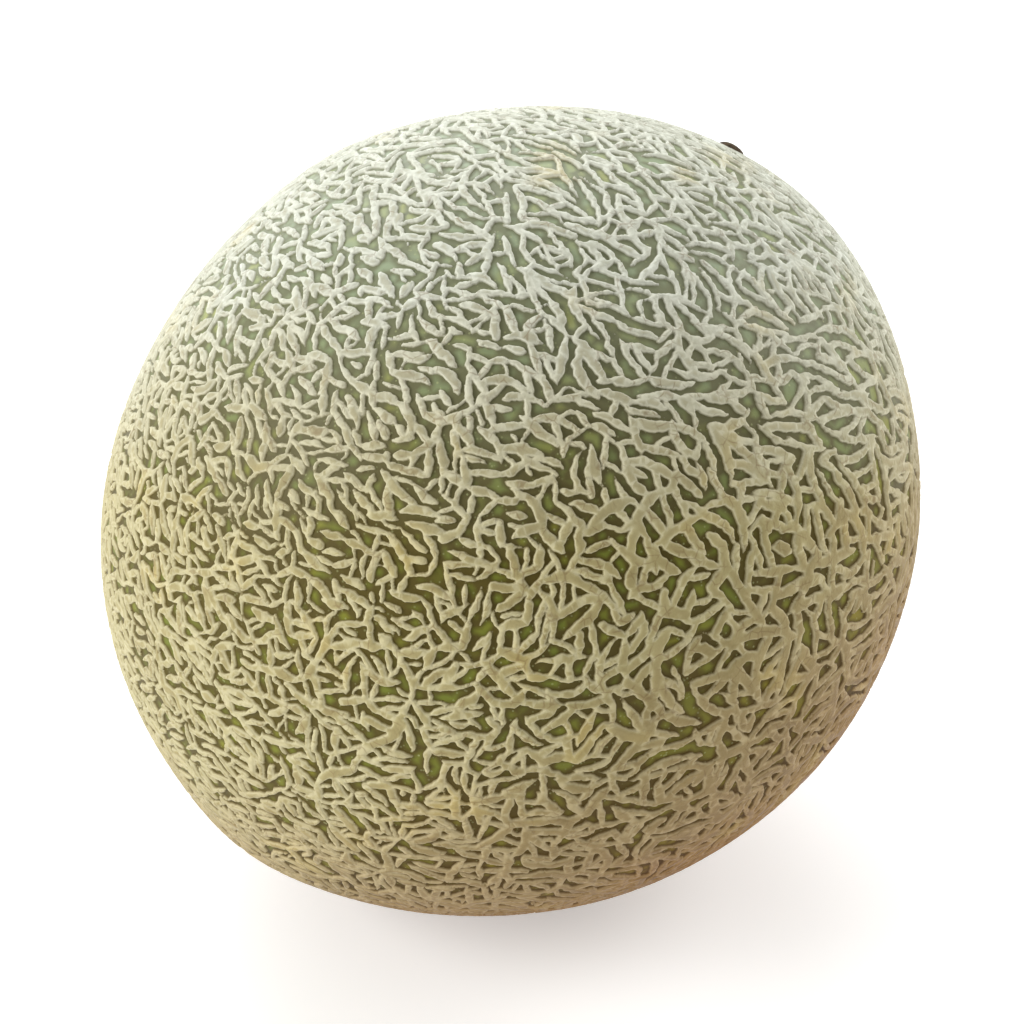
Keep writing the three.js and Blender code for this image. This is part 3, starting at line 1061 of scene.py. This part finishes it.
scar_finish = dry_brown("dry_fibre", 0.002, 0.0007, (70, 52, 36), (158, 132, 92))
button_finish = dry_brown("dry_button", 0.0014, 0.0005, (38, 28, 20), (92, 74, 52))

# %% [markdown]
# Every piece gets its finish. All of them ride on the one body, and the
# skin takes the place of the imported melon.

# %% Ride on the body
for piece in net_pieces:
    piece.data.materials.append(cork_finish)
skin.data.materials.append(skin_finish)
button.data.materials.append(button_finish)
scar.data.materials.append(scar_finish)
for piece in [skin, button, scar, *net_pieces]:
    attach(piece, "root")
    print(piece.name, "wears", piece.data.materials[0].name)
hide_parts("melon")

# %% [markdown]
# ## Studio
#
# The melon lies on a plain white floor in soft light from four sides. The brightest lights stand to the
# left and behind, so the lower right side is the darkest. The floor glows a little, so that it stays white
# in the picture and keeps only a faint shadow. Lights and floor are stage: the melon is finished without
# them.

# %% Floor
FLOOR_GLOW = 0.38


def studio_floor():
    plane = bmesh.new()
    bmesh.ops.create_grid(plane, x_segments=1, y_segments=1, size=3)
    mesh = bpy.data.meshes.new("studio_floor")
    plane.to_mesh(mesh)
    plane.free()
    floor = bpy.data.objects.new("studio_floor", mesh)
    bpy.context.scene.collection.objects.link(floor)
    material, tree, shader = new_finish("white_floor")
    shader.inputs["Base Color"].default_value = (0.8, 0.8, 0.8, 1)
    shader.inputs["Roughness"].default_value = 1
    shader.inputs["Specular IOR Level"].default_value = 0
    shader.inputs["Emission Color"].default_value = (1, 1, 1, 1)
    shader.inputs["Emission Strength"].default_value = FLOOR_GLOW
    floor.data.materials.append(material)
    floor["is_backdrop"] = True


studio_floor()

# %% Lights
LIT_PLACE = Vector((0, 0, 0.07))


def area_light(name, place, size, power, colour=(1, 1, 1)):
    """A square light that faces the melon. Its place and size are in metres and its power in watts."""
    data = bpy.data.lights.new(name, "AREA")
    data.size = size
    data.energy = power
    data.color = colour
    light = bpy.data.objects.new(name, data)
    light.location = place
    to_melon = LIT_PLACE - Vector(place)
    light.rotation_euler = to_melon.to_track_quat("-Z", "Y").to_euler()
    bpy.context.scene.collection.objects.link(light)


area_light("window", (-1.15, -0.35, 0.65), 0.7, 13.5)
area_light("skylight", (-0.25, 1.15, 1.0), 1.2, 14.5, (0.95, 0.98, 1))
area_light("right_wall", (1.15, 0.55, 0.8), 0.9, 12)
area_light("back_wall", (-0.6, 1.6, 0.4), 1.4, 10, (0.93, 0.98, 1))

world = bpy.data.worlds.new("studio")
world.use_nodes = True
world.node_tree.nodes["Background"].inputs["Color"].default_value = (1, 0.98, 0.93, 1)
world.node_tree.nodes["Background"].inputs["Strength"].default_value = 0.48
bpy.context.scene.world = world
bpy.context.scene.view_settings.view_transform = "Standard"

# %% [markdown]
# The camera looks down on the front of the melon from some way off. Its lens is long, so the round shape
# isn't stretched.

# %% Camera
CAMERA_RISE = 35
CAMERA_AWAY = 0.75
VIEW_WIDTH = 0.1915  # what the picture shows from side to side, at the melon's middle
SENSOR = 36  # the usual width of a film frame, in millimetres
camera_data = bpy.data.cameras.new("camera")
camera_data.lens = SENSOR * CAMERA_AWAY / VIEW_WIDTH
camera = bpy.data.objects.new("camera", camera_data)
back = np.array([0, -math.cos(math.radians(CAMERA_RISE)), math.sin(math.radians(CAMERA_RISE))])
camera.location = MIDDLE * MM + back * CAMERA_AWAY
camera.rotation_euler = (math.radians(90 - CAMERA_RISE), 0, 0)
bpy.context.scene.collection.objects.link(camera)
bpy.context.scene.camera = camera
print("the lens is", round(camera_data.lens), "mm long")

# %% [markdown]
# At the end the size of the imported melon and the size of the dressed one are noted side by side. They should
# differ by less than the height of the net.

# %% Sizes, and done
seen_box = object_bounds()
print("dressed melon:", [tuple(round(v, 4) for v in corner) for corner in seen_box])
boxes = {"cad": cad_box, "visual": seen_box}
{name: [list(corner) for corner in box] for name, box in boxes.items()}
